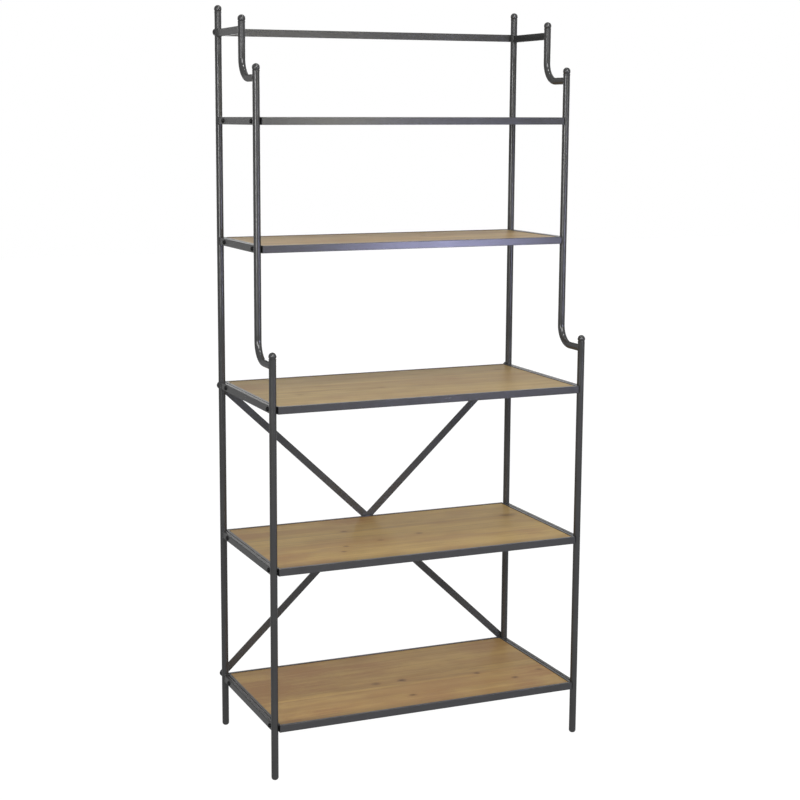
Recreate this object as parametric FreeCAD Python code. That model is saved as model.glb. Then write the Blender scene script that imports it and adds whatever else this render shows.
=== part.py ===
import FreeCAD, Part
import math
import os

# Five-tier shelving unit with stepped uprights, in millimetres.
# Two welded side frames of round tube carry five drop-in trays, each with a wooden board.
# Two crossed flat braces and a flat top rail are bolted to the rear of the back posts.
# The unit stands on z = 0, its front faces -Y, and its box is centred on x = 0 and y = 0.

# Shelf levels, from the floor to the underside of the bottom shelf and up from shelf to shelf
shelf_5_underside = 117.1
shelf_4_rise = 376.2
shelf_3_rise = 378.0
shelf_2_rise = 357.1
shelf_1_rise = 290.1

# Uprights, with each rise taken to the top of the ball cap
front_post_rise_over_shelf_3 = 141.6
middle_post_rise_over_shelf_1 = 137.2
top_post_rise_over_middle = 112.7
back_post_rise_over_top = 31.6
post_pitch_x = 796.7
post_pitch_y = 376.4
step_pitch = 99.4
post_diameter = 17.0
post_wall = 1.2
bend_radius = 46.0
step_joint_drop = 32.0
weld_gap = 0.1

# Ball caps and foot glides, each with a shank that plugs into its tube
cap_height = 17.5
cap_ball_diameter = 18.6
cap_collar_diameter = 18.0
cap_collar_thickness = 2.4
cap_collar_rounding = 0.8
foot_height = 9.0
foot_rounding = 6.5
shank_length = 14.0
shank_gap = 0.15

# Side rails, welded between the uprights of each side frame
rail_height = 17.5
rail_width = 10.0
rail_wall = 1.2
rail_rounding = 1.5
gallery_rail_drop_from_top_rail = 2.5

# Shelf trays, welded from rectangular tube
tray_bar_height = 17.5
tray_bar_width = 8.0
tray_bar_wall = 1.2
tray_bar_rounding = 1.0
tray_front_reach = 10.0
tray_rear_reach = 8.0
tray_post_gap = 1.0
tray_rail_gap = 0.8
plug_flange = 1.0
plug_depth = 8.0
plug_gap = 0.1

# Boards, the tabs that carry them and the screws that hold them down
board_thickness = 9.0
board_recess = 1.0
board_edge_gap = 0.5
board_rounding = 0.6
tab_length = 24.0
tab_width = 18.0
tab_thickness = 2.0
tabs_per_bar = 3
tab_end_inset = 90.0
screw_diameter = 3.5
screw_head_diameter = 7.0
screw_head_height = 1.8
screw_slot_width = 1.0
screw_slot_depth = 0.9
screw_gap = 0.1
screw_depth_share = 0.7
screw_reach_share = 0.55

# Button-head bolts through the side rails into threaded bushes in the trays
bolt_diameter = 5.0
bolt_head_diameter = 9.5
bolt_head_height = 2.75
bolt_head_rounding = 1.9
socket_width = 3.0
socket_depth = 1.6
bolt_hole_gap = 0.3
thread_gap = 0.05
washer_diameter = 12.0
washer_thickness = 1.0
bush_diameter = 8.0
bush_gap = 0.05
front_bolt_setback = 22.0
rear_bolt_setback = 45.0

# Flat braces and the top rail, with their spacers and threaded inserts
brace_width = 18.0
brace_thickness = 3.0
brace_end_margin = 10.5
brace_rise_over_shelf_3 = 11.7
brace_rise_over_shelf_5 = 17.9
front_brace_drop = 5.0
brace_crossing_gap = 0.3
top_rail_drop_from_top_post = 31.5
top_rail_height = 18.0
top_rail_thickness = 3.0
top_rail_end_margin = 10.5
spacer_diameter = 14.0
insert_diameter = 7.0
insert_length = 11.0

# Cutting tools run past the faces that they open by this much
overrun = 2.0

# Sizes that follow from the ones above
shelf_4_underside = shelf_5_underside + shelf_4_rise
shelf_3_underside = shelf_4_underside + shelf_3_rise
shelf_2_underside = shelf_3_underside + shelf_2_rise
shelf_1_underside = shelf_2_underside + shelf_1_rise
front_post_height = shelf_3_underside + front_post_rise_over_shelf_3
middle_post_height = shelf_1_underside + middle_post_rise_over_shelf_1
top_post_height = middle_post_height + top_post_rise_over_middle
back_post_height = top_post_height + back_post_rise_over_top
brace_upper_height = shelf_3_underside + brace_rise_over_shelf_3
brace_lower_height = shelf_5_underside + brace_rise_over_shelf_5
top_rail_centre_height = top_post_height - top_rail_drop_from_top_post
gallery_rail_centre_height = top_rail_centre_height - gallery_rail_drop_from_top_rail
post_radius = post_diameter / 2
bore_radius = post_radius - post_wall
post_x = post_pitch_x / 2
spacer_thickness = brace_thickness + brace_crossing_gap
rear_reach = post_radius + spacer_thickness + brace_thickness + bolt_head_height
front_y = tray_front_reach - (tray_front_reach + post_pitch_y + rear_reach) / 2
back_y = front_y + post_pitch_y
middle_y = front_y + step_pitch
top_y = middle_y + step_pitch
rear_face_y = back_y + post_radius
tray_side_x = post_x - rail_width / 2 - tray_rail_gap
tray_inner_x = tray_side_x - tray_bar_width
tray_bar_end_x = post_x - post_radius - tray_post_gap - plug_flange
tray_rear_y = back_y + tray_rear_reach
shelf_undersides = [
    shelf_1_underside,
    shelf_2_underside,
    shelf_3_underside,
    shelf_4_underside,
    shelf_5_underside,
]
shelf_front_posts_y = [middle_y, middle_y, front_y, front_y, front_y]

ALONG_X = FreeCAD.Vector(1, 0, 0)
ALONG_Y = FreeCAD.Vector(0, 1, 0)
ALONG_Z = FreeCAD.Vector(0, 0, 1)
SIDES = {"left": -1, "right": 1}


def point(x, y, z):
    return FreeCAD.Vector(x, y, z)


def rod(radius, start, direction, length):
    return Part.makeCylinder(radius, length, start, direction)


def block(low, high):
    size = high - low
    return Part.makeBox(size.x, size.y, size.z, low)


def rounded_block(low, high, axis, radius):
    """A block whose four edges along one axis are rounded."""
    solid = block(low, high)
    edges = []
    for edge in solid.Edges:
        run = edge.Vertexes[-1].Point - edge.Vertexes[0].Point
        if run.cross(axis).Length < run.Length / 2:
            edges.append(edge)
    return solid.makeFillet(radius, edges)


def box_tube(low, high, axis, wall, radius):
    """A rectangular tube along one axis, open at both ends."""
    across = point(wall, wall, wall) - axis * wall
    past = axis * overrun
    outside = rounded_block(low, high, axis, radius)
    return outside.cut(block(low + across - past, high - across + past))


def round_tube(x, y, low_z, high_z):
    outside = rod(post_radius, point(x, y, low_z), ALONG_Z, high_z - low_z)
    inside = rod(bore_radius, point(x, y, low_z), ALONG_Z, high_z - low_z)
    return outside.cut(inside)


def post_relief(x, y, gap):
    """The room that a vertical post needs, over the whole height of the unit."""
    return rod(post_radius + gap, point(x, y, 0), ALONG_Z, back_post_height)


def front_brace_holes():
    """Where the front brace is bolted to the back posts, which is a little below the rear one."""
    return [
        point(-post_x, rear_face_y, brace_upper_height - front_brace_drop),
        point(post_x, rear_face_y, brace_lower_height - front_brace_drop),
    ]


def rear_brace_holes():
    return [
        point(post_x, rear_face_y, brace_upper_height),
        point(-post_x, rear_face_y, brace_lower_height),
    ]


def top_rail_holes():
    return [
        point(-post_x, rear_face_y, top_rail_centre_height),
        point(post_x, rear_face_y, top_rail_centre_height),
    ]


def insert_places(x):
    """Where the flat bars are bolted to the rear of the back post at x."""
    places = front_brace_holes() + rear_brace_holes() + top_rail_holes()
    return [place for place in places if place.x == x]


def back_post(side):
    x = side * post_x
    tube = round_tube(x, back_y, foot_height, back_post_height - cap_height)
    for place in insert_places(x):
        hole = rod(insert_diameter / 2 + bush_gap, place, ALONG_Y * -1, post_radius)
        tube = tube.cut(hole)
    return tube


def front_post(side):
    return round_tube(side * post_x, front_y, foot_height, front_post_height - cap_height)


def stepped_post(side, carrier_y, carrier_height, own_height):
    """An upright whose foot bends forward and is coped onto the post in front of it."""
    x = side * post_x
    own_y = carrier_y + step_pitch
    run_z = carrier_height - step_joint_drop
    bend_y = own_y - bend_radius
    bend_z = run_z + bend_radius
    slant = bend_radius * math.sqrt(2) / 2
    start = point(x, carrier_y, run_z)
    bend_start = point(x, bend_y, run_z)
    bend_middle = point(x, bend_y + slant, bend_z - slant)
    bend_end = point(x, own_y, bend_z)
    top = point(x, own_y, own_height - cap_height)
    run = Part.LineSegment(start, bend_start).toShape()
    bend = Part.Arc(bend_start, bend_middle, bend_end).toShape()
    rise = Part.LineSegment(bend_end, top).toShape()
    path = Part.Wire([run, bend, rise])
    tubes = []
    for radius in (post_radius, bore_radius):
        circle = Part.Wire(Part.makeCircle(radius, start, ALONG_Y))
        tubes.append(path.makePipe(Part.Face(circle)))
    return tubes[0].cut(tubes[1]).cut(post_relief(x, carrier_y, weld_gap))


def post_tips():
    """The axis and tip height of every upright."""
    tips = []
    for side in SIDES.values():
        x = side * post_x
        tips.append(point(x, back_y, back_post_height))
        tips.append(point(x, top_y, top_post_height))
        tips.append(point(x, middle_y, middle_post_height))
        tips.append(point(x, front_y, front_post_height))
    return tips


def ball_cap(tip):
    """A ball on a thin collar that covers the end of the tube."""
    seat = tip - ALONG_Z * cap_height
    ball_radius = cap_ball_diameter / 2
    ball = Part.makeSphere(ball_radius, tip - ALONG_Z * ball_radius)
    below = rod(cap_ball_diameter, seat - ALONG_Z * cap_ball_diameter, ALONG_Z, cap_ball_diameter)
    collar = rod(cap_collar_diameter / 2, seat, ALONG_Z, cap_collar_thickness)
    collar = collar.makeFillet(cap_collar_rounding, collar.Edges)
    shank = rod(bore_radius - shank_gap, seat - ALONG_Z * shank_length, ALONG_Z, shank_length)
    neck = rod(bore_radius - shank_gap, seat, ALONG_Z, cap_collar_thickness)
    return ball.cut(below).fuse([collar, neck, shank]).removeSplitter()


def ball_caps():
    return [ball_cap(tip) for tip in post_tips()]


def foot_glide(x, y):
    """A domed glide with a small flat underneath that stands on the floor."""
    dome = rod(post_radius, point(x, y, 0), ALONG_Z, foot_height)
    rim = min(dome.Edges, key=lambda edge: edge.BoundBox.ZMax)
    dome = dome.makeFillet(foot_rounding, [rim])
    shank = rod(bore_radius - shank_gap, point(x, y, foot_height), ALONG_Z, shank_length)
    return dome.fuse(shank)


def foot_glides():
    return [foot_glide(side * post_x, y) for side in SIDES.values() for y in (front_y, back_y)]


def bolt_places(front_post_y):
    return [front_post_y + front_bolt_setback, back_y - rear_bolt_setback]


def rail_between(x, front_post_y, underside):
    """A side rail centred on its posts and coped onto both of them."""
    low = point(x - rail_width / 2, front_post_y, underside)
    high = point(x + rail_width / 2, back_y, underside + rail_height)
    rail = box_tube(low, high, ALONG_Y, rail_wall, rail_rounding)
    for post_y in (front_post_y, back_y):
        rail = rail.cut(post_relief(x, post_y, weld_gap))
    return rail


def shelf_rail(side, front_post_y, underside):
    x = side * post_x
    rail = rail_between(x, front_post_y, underside)
    for y in bolt_places(front_post_y):
        start = point(x - rail_width / 2 - overrun, y, underside + rail_height / 2)
        hole_radius = bolt_diameter / 2 + bolt_hole_gap
        rail = rail.cut(rod(hole_radius, start, ALONG_X, rail_width + overrun * 2))
    return rail


def gallery_rail(side):
    return rail_between(side * post_x, top_y, gallery_rail_centre_height - rail_height / 2)


def tray_cross_bar(face_y, underside):
    """The front or rear bar of a tray, which runs between the uprights."""
    low = point(-tray_bar_end_x, face_y, underside)
    high = point(tray_bar_end_x, face_y + tray_bar_width, underside + tray_bar_height)
    return box_tube(low, high, ALONG_X, tray_bar_wall, tray_bar_rounding)


def tray_front_bar(front_post_y, underside):
    return tray_cross_bar(front_post_y - tray_front_reach, underside)


def tray_rear_bar(underside):
    return tray_cross_bar(tray_rear_y - tray_bar_width, underside)


def tray_side_bar(side, front_post_y, underside):
    """A side bar of a tray, relieved around the uprights and bored for its bushes."""
    near_x, far_x = sorted((side * tray_inner_x, side * tray_side_x))
    low = point(near_x, front_post_y - tray_front_reach + tray_bar_width, underside)
    high = point(far_x, tray_rear_y - tray_bar_width, underside + tray_bar_height)
    bar = box_tube(low, high, ALONG_Y, tray_bar_wall, tray_bar_rounding)
    for post_y in (front_post_y, back_y):
        bar = bar.cut(post_relief(side * post_x, post_y, tray_post_gap))
    for y in bolt_places(front_post_y):
        start = point(near_x - overrun, y, underside + tray_bar_height / 2)
        bar = bar.cut(rod(bush_diameter / 2 + bush_gap, start, ALONG_X, tray_bar_width + overrun * 2))
    return bar


def end_plug(side, face_y, underside):
    """A black plug that closes one end of a tray's front or rear bar."""
    inner_x = side * tray_bar_end_x
    outer_x = side * (tray_bar_end_x + plug_flange)
    tip_x = side * (tray_bar_end_x - plug_depth)
    near_x, far_x = sorted((inner_x, outer_x))
    low = point(near_x, face_y, underside)
    high = point(far_x, face_y + tray_bar_width, underside + tray_bar_height)
    flange = rounded_block(low, high, ALONG_X, tray_bar_rounding)
    inset = tray_bar_wall + plug_gap
    near_x, far_x = sorted((inner_x, tip_x))
    low = point(near_x, face_y + inset, underside + inset)
    high = point(far_x, face_y + tray_bar_width - inset, underside + tray_bar_height - inset)
    return flange.fuse(block(low, high))


def tray_end_plugs():
    plugs = []
    for front_post_y, underside in zip(shelf_front_posts_y, shelf_undersides):
        for side in SIDES.values():
            plugs.append(end_plug(side, front_post_y - tray_front_reach, underside))
            plugs.append(end_plug(side, tray_rear_y - tray_bar_width, underside))
    return plugs


def tab_seats(front_post_y, underside):
    """The middle of each tab's edge on its bar, and the way in which the tab points."""
    top = underside + tray_bar_height - board_recess - board_thickness
    front_face = front_post_y - tray_front_reach + tray_bar_width
    rear_face = tray_rear_y - tray_bar_width
    reach = tray_inner_x - tab_end_inset
    seats = []
    for number in range(tabs_per_bar):
        x = reach * (2 * number / (tabs_per_bar - 1) - 1)
        seats.append((point(x, front_face, top), 1))
        seats.append((point(x, rear_face, top), -1))
    return seats


def screw_axis_start(seat, way):
    return seat + ALONG_Y * (way * tab_width * screw_reach_share)


def board(front_post_y, underside):
    """The wooden board, drilled from below for its screws."""
    top = underside + tray_bar_height - board_recess
    edge_x = tray_inner_x - board_edge_gap
    low_y = front_post_y - tray_front_reach + tray_bar_width + board_edge_gap
    high_y = tray_rear_y - tray_bar_width - board_edge_gap
    low = point(-edge_x, low_y, top - board_thickness)
    high = point(edge_x, high_y, top)
    panel = block(low, high)
    rim = [edge for edge in panel.Edges if edge.BoundBox.ZMin > top - board_thickness / 2]
    panel = panel.makeFillet(board_rounding, rim)
    depth = board_thickness * screw_depth_share + screw_gap
    for seat, way in tab_seats(front_post_y, underside):
        start = screw_axis_start(seat, way)
        panel = panel.cut(rod(screw_diameter / 2 + screw_gap, start, ALONG_Z, depth))
    return panel


def board_tab(seat, way):
    corner = seat + ALONG_Y * (way * tab_width)
    low_y, high_y = sorted((seat.y, corner.y))
    low = point(seat.x - tab_length / 2, low_y, seat.z - tab_thickness)
    high = point(seat.x + tab_length / 2, high_y, seat.z)
    start = screw_axis_start(seat, way) - ALONG_Z * (tab_thickness + overrun)
    hole = rod(screw_diameter / 2 + screw_gap, start, ALONG_Z, tab_thickness + overrun * 2)
    return block(low, high).cut(hole)


def board_screw(seat, way):
    """A pan-head screw with a single slot, driven up through its tab."""
    head_top = screw_axis_start(seat, way) - ALONG_Z * tab_thickness
    head_low = head_top - ALONG_Z * screw_head_height
    head = rod(screw_head_diameter / 2, head_low, ALONG_Z, screw_head_height)
    shank_reach = tab_thickness + board_thickness * screw_depth_share
    shank = rod(screw_diameter / 2, head_top, ALONG_Z, shank_reach)
    reach = point(screw_head_diameter / 2 + overrun, screw_slot_width / 2, 0)
    slot = block(head_low - reach - ALONG_Z * overrun, head_low + reach + ALONG_Z * screw_slot_depth)
    return head.fuse(shank).cut(slot)


def all_tab_seats():
    seats = []
    for front_post_y, underside in zip(shelf_front_posts_y, shelf_undersides):
        seats.extend(tab_seats(front_post_y, underside))
    return seats


def board_tabs():
    return [board_tab(seat, way) for seat, way in all_tab_seats()]


def board_screws():
    return [board_screw(seat, way) for seat, way in all_tab_seats()]


def button_bolt(head_seat, outward, grip):
    """A button-head bolt whose head rests at head_seat and whose shank runs inward."""
    head = rod(bolt_head_diameter / 2, head_seat, outward, bolt_head_height)
    crown_centre = head_seat + outward * bolt_head_height
    crown = [edge for edge in head.Edges if (edge.CenterOfMass - crown_centre).Length < bolt_head_height / 2]
    head = head.makeFillet(bolt_head_rounding, crown)
    shank = rod(bolt_diameter / 2, head_seat, outward * -1, grip)
    corner_radius = socket_width / math.sqrt(3)
    corners = []
    for number in range(7):
        angle = number * math.pi / 3
        flat_way = ALONG_Z.cross(outward) * math.sin(angle) + ALONG_Z * math.cos(angle)
        corners.append(crown_centre + outward * overrun + flat_way * corner_radius)
    mouth = Part.Face(Part.makePolygon(corners))
    socket = mouth.extrude(outward * -(overrun + socket_depth))
    return head.fuse(shank).cut(socket)


def ring(outer_radius, inner_radius, seat, direction, thickness):
    outside = rod(outer_radius, seat, direction, thickness)
    return outside.cut(rod(inner_radius, seat, direction, thickness))


def tray_bolt_seats():
    """Where each tray bolt meets the outer face of its side rail, and the way outward."""
    seats = []
    for front_post_y, underside in zip(shelf_front_posts_y, shelf_undersides):
        for side in SIDES.values():
            for y in bolt_places(front_post_y):
                x = side * (post_x + rail_width / 2)
                seats.append((point(x, y, underside + rail_height / 2), ALONG_X * side))
    return seats


def tray_bolts():
    grip = washer_thickness + rail_width + tray_rail_gap + tray_bar_width
    bolts = []
    for seat, outward in tray_bolt_seats():
        bolts.append(button_bolt(seat + outward * washer_thickness, outward, grip))
    return bolts


def tray_washers():
    washers = []
    hole_radius = bolt_diameter / 2 + bolt_hole_gap
    for seat, outward in tray_bolt_seats():
        washers.append(ring(washer_diameter / 2, hole_radius, seat, outward, washer_thickness))
    return washers


def tray_bushes():
    """Threaded bushes, which also hold each tray off its side rails."""
    bushes = []
    length = tray_rail_gap + tray_bar_width
    thread_radius = bolt_diameter / 2 + thread_gap
    for seat, outward in tray_bolt_seats():
        start = seat - outward * rail_width
        bushes.append(ring(bush_diameter / 2, thread_radius, start, outward * -1, length))
    return bushes


def flat_bar(first, last, width, thickness, margin):
    """A flat bar with round ends, from one bolt to another, whose front lies at their y."""
    along = last - first
    along.normalize()
    across = along.cross(ALONG_Y) * (width / 2)
    first_end = first - along * margin
    last_end = last + along * margin
    first_round = first_end + along * (width / 2)
    last_round = last_end - along * (width / 2)
    edges = [
        Part.LineSegment(first_round + across, last_round + across).toShape(),
        Part.Arc(last_round + across, last_end, last_round - across).toShape(),
        Part.LineSegment(last_round - across, first_round - across).toShape(),
        Part.Arc(first_round - across, first_end, first_round + across).toShape(),
    ]
    bar = Part.Face(Part.Wire(edges)).extrude(ALONG_Y * thickness)
    for bolt in (first, last):
        bar = bar.cut(rod(bolt_diameter / 2 + bolt_hole_gap, bolt, ALONG_Y, thickness))
    return bar


def cross_brace_front():
    upper, lower = front_brace_holes()
    return flat_bar(upper, lower, brace_width, brace_thickness, brace_end_margin)


def cross_brace_rear():
    upper, lower = [hole + ALONG_Y * spacer_thickness for hole in rear_brace_holes()]
    return flat_bar(upper, lower, brace_width, brace_thickness, brace_end_margin)


def top_rear_rail():
    left, right = top_rail_holes()
    return flat_bar(left, right, top_rail_height, top_rail_thickness, top_rail_end_margin)


def brace_spacers():
    """Spacers that let the rear brace pass behind the front one."""
    hole_radius = bolt_diameter / 2 + bolt_hole_gap
    spacers = []
    for seat in rear_brace_holes():
        spacers.append(ring(spacer_diameter / 2, hole_radius, seat, ALONG_Y, spacer_thickness))
    return spacers


def rear_bolts():
    """The bolts that hold both braces and the top rail."""
    stacks = [
        (front_brace_holes(), brace_thickness),
        (rear_brace_holes(), spacer_thickness + brace_thickness),
        (top_rail_holes(), top_rail_thickness),
    ]
    bolts = []
    for seats, stack in stacks:
        for seat in seats:
            bolts.append(button_bolt(seat + ALONG_Y * stack, ALONG_Y, stack + insert_length))
    return bolts


def post_inserts():
    """Threaded inserts set into the rear walls of the back posts."""
    thread_radius = bolt_diameter / 2 + thread_gap
    inserts = []
    for side in SIDES.values():
        for seat in insert_places(side * post_x):
            inserts.append(ring(insert_diameter / 2, thread_radius, seat, ALONG_Y * -1, insert_length))
    return inserts


def build_nodes():
    """Every piece of the unit under its own name, as a list of solids."""
    nodes = {}
    for name, side in SIDES.items():
        nodes["back_post_" + name] = [back_post(side)]
        nodes["front_post_" + name] = [front_post(side)]
        nodes["middle_post_" + name] = [
            stepped_post(side, front_y, front_post_height, middle_post_height)
        ]
        nodes["top_post_" + name] = [
            stepped_post(side, middle_y, middle_post_height, top_post_height)
        ]
        nodes["gallery_rail_" + name] = [gallery_rail(side)]
    shelves = zip(shelf_front_posts_y, shelf_undersides)
    for number, (front_post_y, underside) in enumerate(shelves, start=1):
        shelf = "shelf_" + str(number)
        for name, side in SIDES.items():
            nodes[shelf + "_rail_" + name] = [shelf_rail(side, front_post_y, underside)]
            nodes[shelf + "_side_bar_" + name] = [tray_side_bar(side, front_post_y, underside)]
        nodes[shelf + "_front_bar"] = [tray_front_bar(front_post_y, underside)]
        nodes[shelf + "_rear_bar"] = [tray_rear_bar(underside)]
        nodes[shelf + "_board"] = [board(front_post_y, underside)]
    nodes["ball_caps"] = ball_caps()
    nodes["foot_glides"] = foot_glides()
    nodes["tray_end_plugs"] = tray_end_plugs()
    nodes["tray_bolts"] = tray_bolts()
    nodes["tray_washers"] = tray_washers()
    nodes["tray_bushes"] = tray_bushes()
    nodes["board_tabs"] = board_tabs()
    nodes["board_screws"] = board_screws()
    nodes["cross_brace_front"] = [cross_brace_front()]
    nodes["cross_brace_rear"] = [cross_brace_rear()]
    nodes["top_rear_rail"] = [top_rear_rail()]
    nodes["brace_spacers"] = brace_spacers()
    nodes["rear_bolts"] = rear_bolts()
    nodes["post_inserts"] = post_inserts()
    return nodes


def write_parts():
    os.makedirs("parts", exist_ok=True)
    for name, solids in build_nodes().items():
        shape = solids[0] if len(solids) == 1 else Part.makeCompound(solids)
        shape.exportStep("parts/" + name + ".step")


write_parts()
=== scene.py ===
"""Dresses the five-tier stepped shelving unit and sets up its studio. All lengths are in metres."""

import math
import random
from types import SimpleNamespace

import bmesh
import bpy
from mathutils import Matrix, Vector


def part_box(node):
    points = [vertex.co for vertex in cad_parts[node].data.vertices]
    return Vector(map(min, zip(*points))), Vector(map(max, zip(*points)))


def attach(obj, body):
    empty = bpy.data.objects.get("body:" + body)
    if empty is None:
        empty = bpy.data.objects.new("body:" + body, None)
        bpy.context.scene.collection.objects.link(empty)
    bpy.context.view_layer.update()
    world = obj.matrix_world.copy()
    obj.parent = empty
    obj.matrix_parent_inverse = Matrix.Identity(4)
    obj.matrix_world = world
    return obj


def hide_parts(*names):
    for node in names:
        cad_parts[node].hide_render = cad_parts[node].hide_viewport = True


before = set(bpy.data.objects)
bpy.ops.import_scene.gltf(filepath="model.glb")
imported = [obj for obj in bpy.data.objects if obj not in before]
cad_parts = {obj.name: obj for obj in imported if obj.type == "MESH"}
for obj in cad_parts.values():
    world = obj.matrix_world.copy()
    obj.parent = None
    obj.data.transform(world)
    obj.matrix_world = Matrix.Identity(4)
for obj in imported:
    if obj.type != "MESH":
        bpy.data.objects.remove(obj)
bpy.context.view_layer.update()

bl_info = {
    "name": "Stepped shelving unit",
    "version": (1, 0, 0),
    "blender": (4, 5, 0),
    "location": "View3D > Sidebar > Shelving",
    "description": "Finishes of a five-tier stepped shelving unit, with its studio",
    "category": "Object",
}

SIDES = ("left", "right")
SHELVES = (1, 2, 3, 4, 5)
MM = 0.001
WHITE = (1.0, 1.0, 1.0)

# The value that a noise varies around
NOISE_MIDDLE = 0.5

# The shelves that reach only to the middle posts
SHORT_SHELVES = (1, 2)

# How far above the foot of a stepped post the middle of its bend lies
BEND_MIDDLE = 30 * MM


def node_middle(name):
    low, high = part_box(name)
    return (low + high) / 2


# Post sizes, read from the frame
POST_LOW, POST_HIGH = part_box("front_post_left")
POST_RADIUS = (POST_HIGH.x - POST_LOW.x) / 2
FRONT_Y = (POST_LOW.y + POST_HIGH.y) / 2
BACK_Y = node_middle("back_post_left").y
MIDDLE_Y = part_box("middle_post_left")[1].y - POST_RADIUS
TOP_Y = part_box("top_post_left")[1].y - POST_RADIUS


def colour_property(name, description, default):
    return bpy.props.FloatVectorProperty(
        name=name, description=description, default=default, subtype="COLOR", size=3, min=0, max=1
    )


def length_property(name, description, default):
    return bpy.props.FloatProperty(
        name=name, description=description, default=default, unit="LENGTH"
    )


def share_property(name, description, default):
    return bpy.props.FloatProperty(
        name=name, description=description, default=default, subtype="FACTOR", min=0, max=1
    )


def angle_property(name, description, degrees):
    return bpy.props.FloatProperty(
        name=name, description=description, default=math.radians(degrees), subtype="ANGLE"
    )


def power_property(name, description, watts):
    return bpy.props.FloatProperty(name=name, description=description, default=watts, unit="POWER")


def glow_property(name, description, default):
    return bpy.props.FloatProperty(name=name, description=description, default=default)


class ShelvingMetalSettings(bpy.types.PropertyGroup):
    """The dark painted metal of the frames, trays and braces."""

    frame_colour: colour_property(
        "Frame colour", "Paint of the uprights and side rails", (0.076, 0.076, 0.076)
    )
    tray_colour: colour_property("Tray colour", "Paint of the tray bars", (0.087, 0.087, 0.090))
    brace_colour: colour_property("Brace colour", "Paint of the braces", (0.098, 0.101, 0.102))
    # Painted light: the top rail's paint is the frame's paint made lighter, for the stronger light
    # from above
    top_rail_colour: colour_property(
        "Top rail colour", "Paint of the top rail", (0.096, 0.096, 0.096)
    )
    # Painted shade: the gallery rails' paint is the frame's paint made darker, for the less light
    # on them
    gallery_colour: colour_property(
        "Gallery colour", "Paint of the gallery rails", (0.045, 0.045, 0.045)
    )
    worn_colour: colour_property(
        "Worn colour", "Metal that shows on rubbed edges", (0.20, 0.20, 0.205)
    )
    roughness: share_property("Roughness", "Roughness of sound paint", 0.25)
    metallic: share_property("Metallic", "How metallic the paint looks", 0.5)
    polish: share_property("Polish", "How much smoother the paint is on the bends", 0.11)
    wear: share_property("Edge wear", "How much the edges are rubbed", 0.2)
    edge_width: length_property("Edge width", "Width of the rubbed band along an edge", 1.1 * MM)
    dust: share_property("Dust", "How much rougher dust makes the faces that lie flat", 0.10)
    dust_colour: colour_property(
        "Dust colour", "Fine dust on the faces that lie flat", (0.16, 0.155, 0.15)
    )


class ShelvingWoodSettings(bpy.types.PropertyGroup):
    """The glued boards."""

    pale_colour: colour_property("Pale wood", "Early growth", (0.510, 0.352, 0.136))
    deep_colour: colour_property("Deep wood", "Darker bands", (0.375, 0.238, 0.092))
    ring_colour: colour_property("Ring", "Thin lines of late growth", (0.248, 0.137, 0.047))
    blush_colour: colour_property("Blush", "Reddish streaks", (0.362, 0.203, 0.078))
    knot_colour: colour_property("Knot", "Heart of a knot", (0.113, 0.055, 0.021))
    stave_width: length_property("Stave width", "Usual width of the glued staves", 62 * MM)
    joint_bevel: length_property("Joint bevel", "Rounding of the staves' edges", 0.25 * MM)
    roughness: share_property("Roughness", "Roughness of the oiled wood", 0.52)
    # The rim is a band along a board's front edge that is darkened towards the knot colour
    rim_width: length_property(
        "Rim width", "Width of the stain along a board's front edge", 28 * MM
    )
    shine: share_property("Shine", "How much light the oil throws back", 0.62)


class ShelvingWeldSettings(bpy.types.PropertyGroup):
    """The weld beads where rails and stepped posts meet the uprights."""

    bead_radius: length_property("Bead radius", "Half the thickness of a bead", 1.15 * MM)
    ripple_pitch: length_property(
        "Ripple pitch", "Distance between two ripples of a bead", 1.6 * MM
    )
    ripple_share: share_property(
        "Ripple", "Depth of the ripples as a share of the bead's radius", 0.12
    )


class ShelvingStudioSettings(bpy.types.PropertyGroup):
    """The camera, lights and floor."""

    camera_place: bpy.props.FloatVectorProperty(
        name="Camera place",
        description="Where the camera stands",
        default=(-1.5975, -3.5958, 1.5389),
        subtype="TRANSLATION",
        unit="LENGTH",
        size=3,
    )
    camera_yaw: angle_property(
        "Camera yaw", "How far the camera turns to the right of straight ahead", 22.181
    )
    camera_pitch: angle_property("Camera pitch", "How far the camera looks down", 8.919)
    camera_roll: angle_property("Camera roll", "How far the camera leans", 0.07)
    lens_px: bpy.props.FloatProperty(
        name="Lens",
        description="Focal length in pixels of the picture",
        default=1619.12,
        subtype="PIXEL",
    )
    centre_px: bpy.props.FloatVectorProperty(
        name="Optical centre",
        description="Where the lens points in the picture, from its top left corner",
        default=(350, 370),
        size=2,
    )
    floor_colour: colour_property(
        "Floor", "Shade that the white floor takes from the lights", (0.04, 0.04, 0.04)
    )
    floor_light: glow_property("Floor glow", "Light of the white floor itself", 0.99)
    wall_light: glow_property("Walls", "Light from all around", 0.40)
    low_back_light: glow_property(
        "Back wall, low", "How much the foot of the wall behind the unit gains", 2.9
    )
    high_back_light: glow_property(
        "Back wall, high",
        "How much the upper part of that wall gains or, below zero, loses",
        -0.31,
    )
    front_power: power_property("Front softbox", "Large soft light above the camera", 112)
    left_power: power_property("Left softbox", "Narrow light on the left", 21)
    window_power: power_property("Window", "Small cool light ahead on the right", 12.6)
    window_colour: colour_property("Window colour", "Colour of the cool light", (0.60, 0.61, 1.0))
    upper_window_power: power_property(
        "Upper window", "Small warm light above the cool one", 2.4
    )
    upper_window_colour: colour_property(
        "Upper window colour", "Colour of the warm light", (1.0, 0.97, 0.70)
    )
    top_power: power_property("Top softbox", "Light from above", 21)
    ceiling_power: power_property("Ceiling light", "Small light straight above the unit", 7)


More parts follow.
